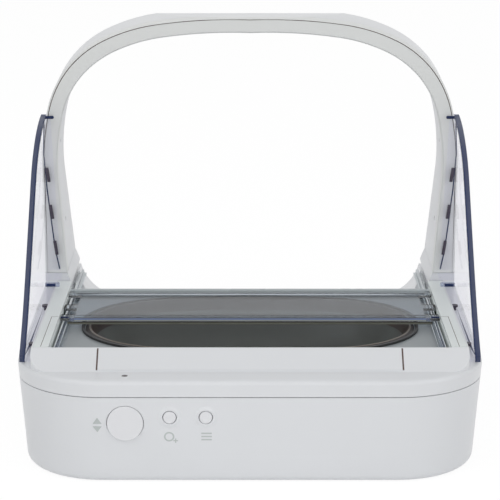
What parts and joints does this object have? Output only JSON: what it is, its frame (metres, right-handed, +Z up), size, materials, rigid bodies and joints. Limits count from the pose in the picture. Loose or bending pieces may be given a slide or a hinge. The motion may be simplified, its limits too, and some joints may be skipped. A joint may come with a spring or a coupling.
{
  "type": "microchip pet feeder",
  "caption": "Covered pet feeder with an oval bowl, a sliding clear lid in two leaves, clear side panels, and an arched reader hoop for the pet to put its head through.",
  "frame": {"origin": "middle of the footprint, on the surface that it stands on", "axes": "+Y towards the pet side with the hoop and nose, -Y the side with the buttons, +Z up"},
  "size_m": [0.23, 0.32, 0.2],
  "materials": {
    "white_abs": "fine satin moulding",
    "pale_grey_abs": "fine satin moulding",
    "grey_abs": "satin moulding",
    "clear_polycarbonate": "clear polished",
    "bowl_plastic": "satin moulding",
    "rubber": "matt",
    "button_white": "satin",
    "steel": "plated",
    "dark_screw": "blackened",
    "acetal": "moulded",
    "copper": "enamelled winding",
    "circuit_board": "solder mask",
    "black_plastic": "moulded",
    "lens": "dark lens",
    "cell_jacket": "plain jacket"
  },
  "bodies": {
    "housing": {"antenna_coil": "copper", "base_shell": "white_abs", "battery_cells_left": "cell_jacket", "battery_cells_right": "cell_jacket", "battery_contacts_left": "steel", "battery_contacts_right": "steel", "bowl": "bowl_plastic", "bowl_seal": "rubber", "bowl_tray": "grey_abs", "button_pcb": "circuit_board", "button_switches": "black_plastic", "case_screws": "steel", "deck_strip_left": "pale_grey_abs", "deck_strip_right": "pale_grey_abs", "drive_belt_left": "rubber", "drive_belt_right": "rubber", "gear_motor": "black_plastic", "hoop_foot_left": "white_abs", "hoop_foot_right": "white_abs", "hoop_front_shell": "white_abs", "hoop_rear_shell": "pale_grey_abs", "hump_centre_panel": "white_abs", "idler_pin_left": "steel", "idler_pin_right": "steel", "lid_guide_left": "clear_polycarbonate", "lid_guide_right": "clear_polycarbonate", "light_pipe": "lens", "main_pcb": "circuit_board", "panel_clips_left": "dark_screw", "panel_clips_right": "dark_screw", "panel_screws_left": "dark_screw", "panel_screws_right": "dark_screw", "rubber_feet": "rubber", "shaft_bush_left": "acetal", "shaft_bush_right": "acetal", "side_panel_left": "clear_polycarbonate", "side_panel_right": "clear_polycarbonate", "top_cover": "white_abs"},
    "rear_lid": {"rear_leaf": "clear_polycarbonate", "lid_bar": "pale_grey_abs"},
    "front_lid": {"front_leaf": "clear_polycarbonate"},
    "drive_train": {"drive_shaft": "steel", "shaft_gear": "acetal", "drive_pulley_left": "acetal", "drive_pulley_right": "acetal"},
    "idler_left": {"idler_pulley_left": "acetal"},
    "idler_right": {"idler_pulley_right": "acetal"},
    "motor_output": {"motor_shaft": "steel", "motor_pinion": "acetal"},
    "big_button": {"open_close_button": "button_white"},
    "left_small_button": {"mode_button": "button_white"},
    "right_small_button": {"function_button": "button_white"},
    "left_battery_door": {"battery_door_left": "pale_grey_abs"},
    "right_battery_door": {"battery_door_right": "pale_grey_abs"}
  },
  "joints": [
    {"name": "lid_slide", "type": "slide", "parent": "housing", "child": "rear_lid", "axis": [0, 0.9986, -0.0523], "range_m": [-0.061, 0.061]},
    {"name": "front_leaf_slide", "type": "slide", "parent": "housing", "child": "front_lid", "axis": [0, 0.9986, -0.0523], "range_m": [0, 0.061]},
    {"name": "shaft_spin", "type": "hinge", "parent": "housing", "child": "drive_train", "pos_m": [0, -0.1268, 0.0446], "axis": [1, 0, 0], "range_deg": [-702, 702]},
    {"name": "idler_left_spin", "type": "hinge", "parent": "housing", "child": "idler_left", "pos_m": [-0.1025, 0.028, 0.03649], "axis": [1, 0, 0], "range_deg": [-702, 702]},
    {"name": "idler_right_spin", "type": "hinge", "parent": "housing", "child": "idler_right", "pos_m": [0.1025, 0.028, 0.03649], "axis": [1, 0, 0], "range_deg": [-702, 702]},
    {"name": "motor_spin", "type": "hinge", "parent": "housing", "child": "motor_output", "pos_m": [0.0595, -0.1268, 0.03545], "axis": [1, 0, 0], "range_deg": [-878, 878]},
    {"name": "open_close_press", "type": "slide", "parent": "housing", "child": "big_button", "axis": [0, 1, 0], "range_m": [0, 0.0012], "stiffness_N_per_m": 500},
    {"name": "mode_press", "type": "slide", "parent": "housing", "child": "left_small_button", "axis": [0, 1, 0], "range_m": [0, 0.0012], "stiffness_N_per_m": 300},
    {"name": "function_press", "type": "slide", "parent": "housing", "child": "right_small_button", "axis": [0, 1, 0], "range_m": [0, 0.0012], "stiffness_N_per_m": 300},
    {"name": "left_door_hinge", "type": "hinge", "parent": "housing", "child": "left_battery_door", "pos_m": [-0.053, 0.0004, 0.0025], "axis": [1, 0, 0], "range_deg": [-85, 0]},
    {"name": "right_door_hinge", "type": "hinge", "parent": "housing", "child": "right_battery_door", "pos_m": [0.053, 0.0004, 0.0025], "axis": [1, 0, 0], "range_deg": [-85, 0]}
  ],
  "couplings": [
    {"joint": "shaft_spin", "follows": "lid_slide", "rad_per_m": -200},
    {"joint": "idler_left_spin", "follows": "lid_slide", "rad_per_m": -200},
    {"joint": "idler_right_spin", "follows": "lid_slide", "rad_per_m": -200},
    {"joint": "motor_spin", "follows": "lid_slide", "rad_per_m": 250}
  ]
}
